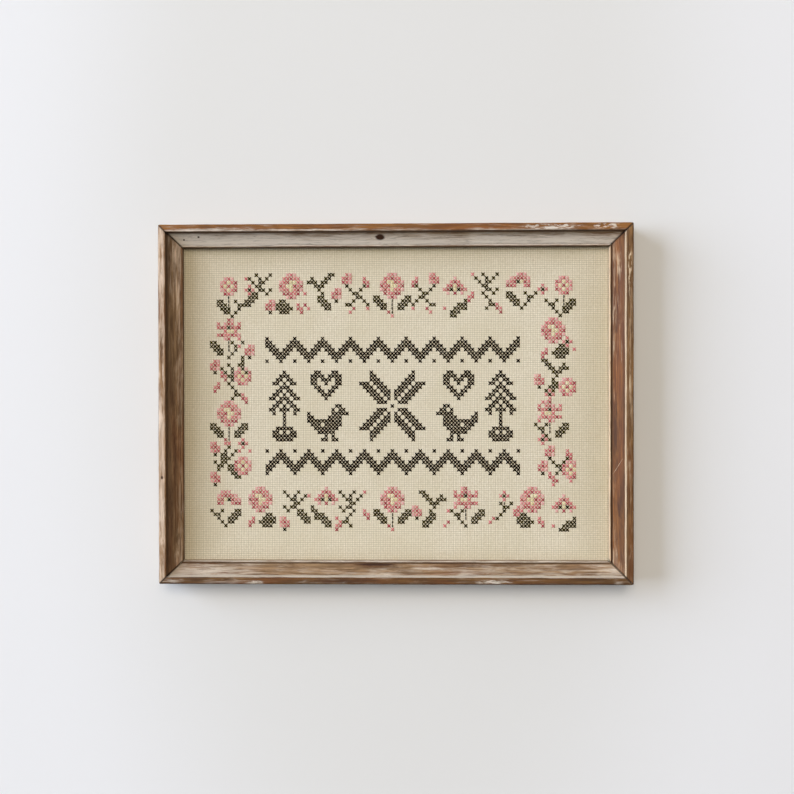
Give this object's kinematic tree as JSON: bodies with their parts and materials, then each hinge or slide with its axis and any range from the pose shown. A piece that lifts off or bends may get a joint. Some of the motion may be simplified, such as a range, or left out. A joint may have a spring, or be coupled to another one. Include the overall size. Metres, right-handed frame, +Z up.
{
  "type": "framed cross stitch sampler in a wooden picture frame",
  "caption": "Cross stitch sampler on cream block-weave cotton, held flat in a small mitred pine frame with worn limewash, a raised outer lip, a sloped face and a beaded sight edge.",
  "frame": {"origin": "on the flat back of the top rail, midway along it, where the frame hangs against a wall", "axes": "+X to the right seen from the front, +Y out of the back towards the wall, +Z up"},
  "size_m": [0.298, 0.02, 0.2264],
  "materials": {
    "limewashed_pine": "limewash, worn to brown pine on the lip",
    "bleached_pine": "thin limewash over brown pine",
    "umber_pine": "weathered brown pine with a limewashed lip",
    "russet_pine": "weathered red-brown pine",
    "cream_cotton": "cream block-weave cotton, matt",
    "grey_board": "plain grey-brown backing board, matt"
  },
  "bodies": {
    "root": {"rail_top": "limewashed_pine", "rail_bottom": "bleached_pine", "rail_left": "umber_pine", "rail_right": "russet_pine", "cloth": "cream_cotton", "backing_board": "grey_board"}
  },
  "joints": []
}
